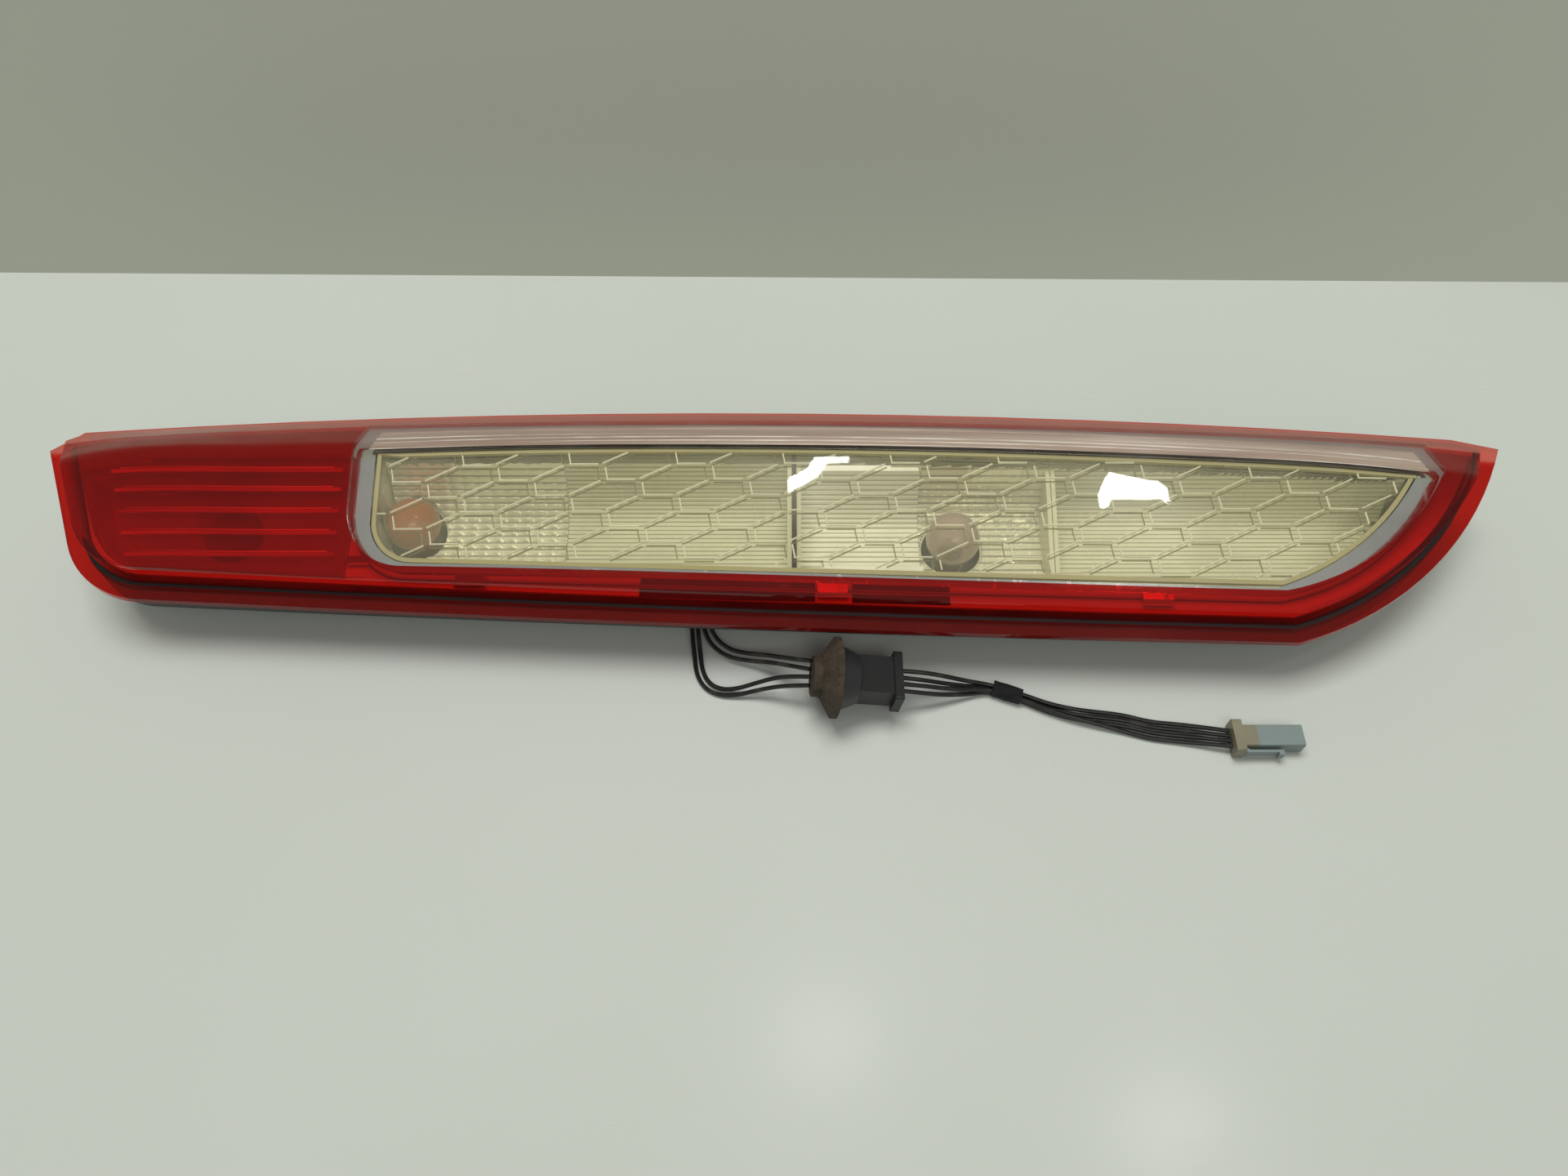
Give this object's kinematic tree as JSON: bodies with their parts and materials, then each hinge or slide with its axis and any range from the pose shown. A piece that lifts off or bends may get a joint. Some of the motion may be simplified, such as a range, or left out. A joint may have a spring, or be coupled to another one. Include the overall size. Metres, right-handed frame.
{
  "type": "rear combination lamp",
  "caption": "Tall pillar-mounted rear combination lamp with red and clear lens sections, bulb carrier and pigtail harness with grommet and plug.",
  "frame": {"origin": "centre of the lamp's footprint, at the tips of its studs and the bottoms of its bulb sockets, where it rests on its back", "axes": "+X along the lamp towards its pointed end, +Y across it towards the wrap-around side, +Z out of the lens, along the studs"},
  "size_m": [0.706, 0.1618, 0.0732],
  "materials": {
    "red_lens": "two-colour moulded acrylic, transparent red, polished",
    "clear_lens": "transparent acrylic, polished",
    "housing_black": "black moulded ABS",
    "chrome": "vacuum-metallised plastic, polished",
    "aged_lens": "polycarbonate yellowed by heat, patterned",
    "reflector": "vacuum-metallised plastic",
    "carrier_grey": "glass-filled nylon",
    "foam": "closed-cell foam",
    "brass": "tinned brass strip",
    "bulb_metal": "nickel-plated cap",
    "bulb_clear": "clear bulb glass",
    "bulb_amber": "amber-coated bulb glass",
    "steel": "zinc-plated steel",
    "foam_rubber": "dusty brown foam-faced rubber",
    "rubber_black": "black rubber",
    "block_black": "black moulded plastic",
    "wire_black": "PVC insulation, black",
    "tape_black": "cloth harness tape",
    "plug_grey": "blue-grey nylon",
    "plug_beige": "natural beige nylon"
  },
  "bodies": {
    "lamp": {"outer_lens_red": "red_lens", "outer_lens_clear": "clear_lens", "housing": "housing_black", "chrome_bezel": "chrome", "pattern_lens": "aged_lens", "stop_rib_lens": "red_lens", "trim_ledge": "reflector", "reflector_stop": "reflector", "reflector_turn": "reflector", "reflector_reversing": "reflector", "reflector_end": "reflector", "light_partition": "carrier_grey", "bulb_carrier": "carrier_grey", "carrier_gasket": "foam", "contact_springs": "brass", "bulb_filaments": "steel", "mounting_stud_left": "steel", "mounting_stud_right": "steel", "grommet_disc": "foam_rubber", "grommet_collar": "rubber_black", "harness_block": "block_black", "tape_sleeve": "tape_black", "plug_rear": "plug_beige", "plug_body": "plug_grey", "plug_terminals": "brass", "contact_rail_ground": "brass", "contact_rail_stop": "brass", "contact_rail_turn": "brass", "contact_rail_reversing": "brass", "bulb_base_stop": "bulb_metal", "bulb_glass_stop": "bulb_clear", "bulb_base_turn": "bulb_metal", "bulb_glass_turn": "bulb_amber", "bulb_base_reversing": "bulb_metal", "bulb_glass_reversing": "bulb_clear", "lamp_wire_a1": "wire_black", "lamp_wire_a2": "wire_black", "lamp_wire_b1": "wire_black", "lamp_wire_b2": "wire_black", "plug_wire_1": "wire_black", "plug_wire_2": "wire_black", "plug_wire_3": "wire_black", "plug_wire_4": "wire_black"},
    "latch_near_left": {"carrier_latch_near_left": "housing_black"},
    "latch_near_right": {"carrier_latch_near_right": "housing_black"},
    "latch_far_left": {"carrier_latch_far_left": "housing_black"},
    "latch_far_right": {"carrier_latch_far_right": "housing_black"},
    "plug_lever": {"plug_lever": "plug_beige"}
  },
  "joints": [
    {"name": "latch_near_left_flex", "type": "hinge", "parent": "lamp", "child": "latch_near_left", "pos_m": [-0.205, -0.025, 0.0205], "axis": [-1, 0, 0], "range_deg": [0, 6], "stiffness_Nm_per_rad": 0.05},
    {"name": "latch_near_right_flex", "type": "hinge", "parent": "lamp", "child": "latch_near_right", "pos_m": [0.04, -0.025, 0.0205], "axis": [-1, 0, 0], "range_deg": [0, 6], "stiffness_Nm_per_rad": 0.05},
    {"name": "latch_far_left_flex", "type": "hinge", "parent": "lamp", "child": "latch_far_left", "pos_m": [-0.205, 0.025, 0.0205], "axis": [1, 0, 0], "range_deg": [0, 6], "stiffness_Nm_per_rad": 0.05},
    {"name": "latch_far_right_flex", "type": "hinge", "parent": "lamp", "child": "latch_far_right", "pos_m": [0.04, 0.025, 0.0205], "axis": [1, 0, 0], "range_deg": [0, 6], "stiffness_Nm_per_rad": 0.05},
    {"name": "plug_lever_press", "type": "hinge", "parent": "lamp", "child": "plug_lever", "pos_m": [0.2167, -0.1, 0.0047], "axis": [0, 0, 1], "range_deg": [0, 4.5], "stiffness_Nm_per_rad": 0.02}
  ]
}
